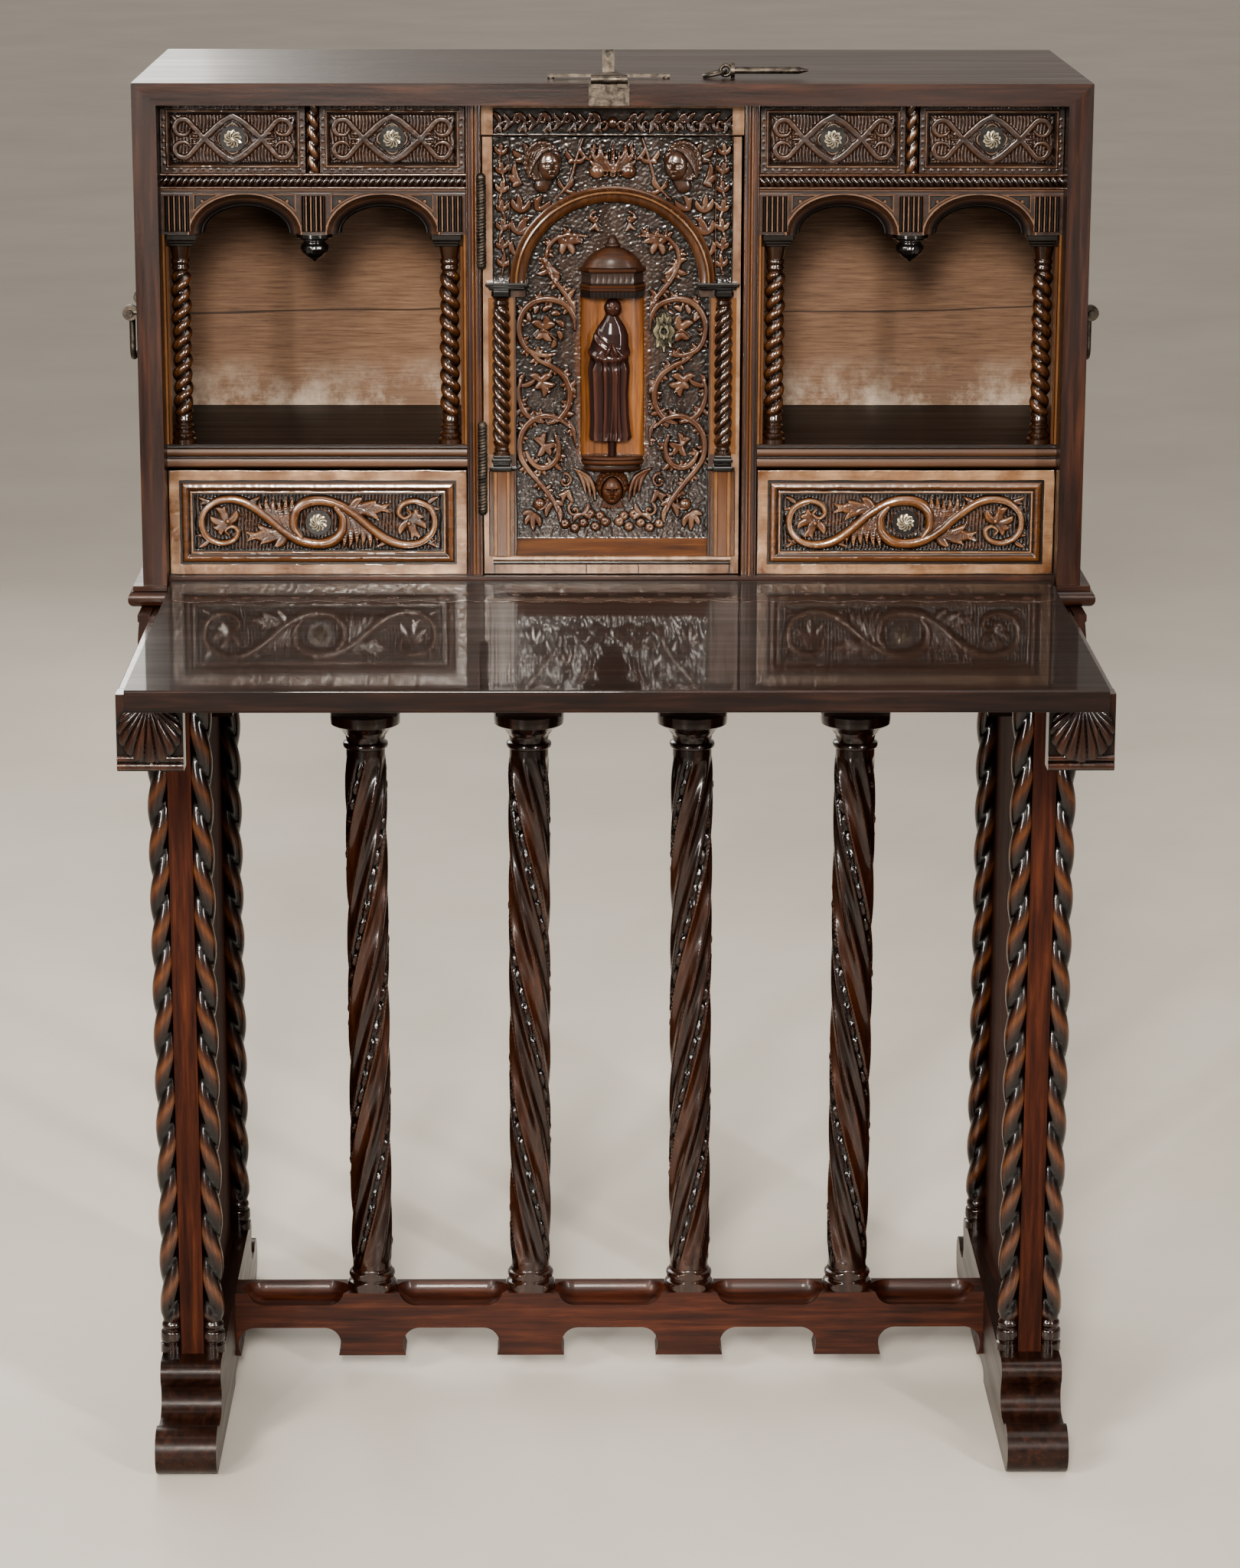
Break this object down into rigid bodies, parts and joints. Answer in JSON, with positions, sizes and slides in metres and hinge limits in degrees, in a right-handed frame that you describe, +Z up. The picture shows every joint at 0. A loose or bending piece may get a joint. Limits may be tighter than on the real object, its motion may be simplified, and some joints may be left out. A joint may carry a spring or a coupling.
{
  "type": "vargueno",
  "caption": "Fall-front writing cabinet with carved drawers, arcades and a niche door, on a trestle stand with spiral columns, pull-out lopers and sled feet.",
  "frame": {"origin": "on the floor, under the middle of the whole object with its fall open and lopers out", "axes": "+Z up, +Y from the front towards the back, +X to the viewer's right"},
  "size_m": [1.008, 0.9265, 1.4405],
  "materials": {
    "dark_walnut": "worn wax polish over almost black walnut",
    "interior_walnut": "carved walnut with golden worn edges",
    "honey_walnut": "carved walnut, honey brown, waxed",
    "raw_wood": "unfinished pale boards",
    "let_in_strip": "dark strip with stamped ovals",
    "iron": "dark wrought iron",
    "aged_brass": "aged brass with a green-brown film",
    "pale_metal": "pale silvery metal, worn"
  },
  "bodies": {
    "cabinet": {"case_top": "dark_walnut", "case_bottom": "dark_walnut", "case_back": "raw_wood", "case_side_left": "dark_walnut", "case_side_right": "dark_walnut", "base_moulding_left": "dark_walnut", "base_moulding_right": "dark_walnut", "fall_pivot_pins": "iron", "hasp_plate": "iron", "divider_left": "interior_walnut", "divider_right": "interior_walnut", "upper_shelves": "interior_walnut", "lower_shelves": "interior_walnut", "drawer_posts": "interior_walnut", "arcade_left": "interior_walnut", "arcade_right": "interior_walnut", "arcade_columns": "interior_walnut", "door_head_rail": "interior_walnut", "compartment_backs": "raw_wood", "handle_mounts": "iron", "door_hinge_fixed": "aged_brass", "feet": "dark_walnut", "trestle_boards": "dark_walnut", "rope_columns": "dark_walnut", "bearer_left": "dark_walnut", "bearer_right": "dark_walnut", "stretcher": "dark_walnut", "bridge_columns": "dark_walnut", "bridge_arcade": "dark_walnut"},
    "fall": {"fall_board": "dark_walnut", "hinge_apron": "let_in_strip", "fall_lock_plate": "iron"},
    "loper_left": {"loper_left": "dark_walnut"},
    "loper_right": {"loper_right": "dark_walnut"},
    "door": {"door_panel": "honey_walnut", "door_arch": "honey_walnut", "door_columns": "honey_walnut", "niche_canopy": "honey_walnut", "niche_figure": "honey_walnut", "niche_corbel": "honey_walnut", "door_escutcheon": "aged_brass", "door_hinge_moving": "aged_brass", "door_lock_case": "iron", "door_bolt": "iron"},
    "hasp": {"hasp": "iron"},
    "bail_left": {"bail_left": "iron"},
    "bail_right": {"bail_right": "iron"},
    "locking_pin": {"locking_pin": "iron"},
    "drawer_upper_left_outer": {"drawer_upper_left_outer": "interior_walnut", "pull_upper_left_outer": "pale_metal"},
    "drawer_upper_left_inner": {"drawer_upper_left_inner": "interior_walnut", "pull_upper_left_inner": "pale_metal"},
    "drawer_upper_right_inner": {"drawer_upper_right_inner": "interior_walnut", "pull_upper_right_inner": "pale_metal"},
    "drawer_upper_right_outer": {"drawer_upper_right_outer": "interior_walnut", "pull_upper_right_outer": "pale_metal"},
    "drawer_lower_left": {"drawer_lower_left": "interior_walnut", "pull_lower_left": "pale_metal"},
    "drawer_lower_right": {"drawer_lower_right": "interior_walnut", "pull_lower_right": "pale_metal"}
  },
  "joints": [
    {"name": "fall_hinge", "type": "hinge", "parent": "cabinet", "child": "fall", "pos_m": [0, 0.02425, 0.903], "axis": [1, 0, 0], "range_deg": [-90, 0]},
    {"name": "loper_left_slide", "type": "slide", "parent": "cabinet", "child": "loper_left", "axis": [0, -1, 0], "range_m": [-0.325, 0]},
    {"name": "loper_right_slide", "type": "slide", "parent": "cabinet", "child": "loper_right", "axis": [0, -1, 0], "range_m": [-0.325, 0]},
    {"name": "door_hinge", "type": "hinge", "parent": "cabinet", "child": "door", "pos_m": [-0.1314, 0.03885, 1], "axis": [0, 0, -1], "range_deg": [0, 90]},
    {"name": "hasp_hinge", "type": "hinge", "parent": "cabinet", "child": "hasp", "pos_m": [-0.004, 0.00575, 1.4185], "axis": [1, 0, 0], "range_deg": [0, 270]},
    {"name": "bail_left_swing", "type": "hinge", "parent": "cabinet", "child": "bail_left", "pos_m": [-0.496, 0.21625, 1.1665], "axis": [0, 1, 0], "range_deg": [0, 90]},
    {"name": "bail_right_swing", "type": "hinge", "parent": "cabinet", "child": "bail_right", "pos_m": [0.496, 0.21625, 1.1665], "axis": [0, -1, 0], "range_deg": [0, 90]},
    {"name": "locking_pin_lift", "type": "slide", "parent": "cabinet", "child": "locking_pin", "axis": [0, 0, 1], "range_m": [0, 0.12]},
    {"name": "drawer_upper_left_outer_slide", "type": "slide", "parent": "cabinet", "child": "drawer_upper_left_outer", "axis": [0, -1, 0], "range_m": [0, 0.22]},
    {"name": "drawer_upper_left_inner_slide", "type": "slide", "parent": "cabinet", "child": "drawer_upper_left_inner", "axis": [0, -1, 0], "range_m": [0, 0.22]},
    {"name": "drawer_upper_right_inner_slide", "type": "slide", "parent": "cabinet", "child": "drawer_upper_right_inner", "axis": [0, -1, 0], "range_m": [0, 0.22]},
    {"name": "drawer_upper_right_outer_slide", "type": "slide", "parent": "cabinet", "child": "drawer_upper_right_outer", "axis": [0, -1, 0], "range_m": [0, 0.22]},
    {"name": "drawer_lower_left_slide", "type": "slide", "parent": "cabinet", "child": "drawer_lower_left", "axis": [0, -1, 0], "range_m": [0, 0.22]},
    {"name": "drawer_lower_right_slide", "type": "slide", "parent": "cabinet", "child": "drawer_lower_right", "axis": [0, -1, 0], "range_m": [0, 0.22]}
  ]
}
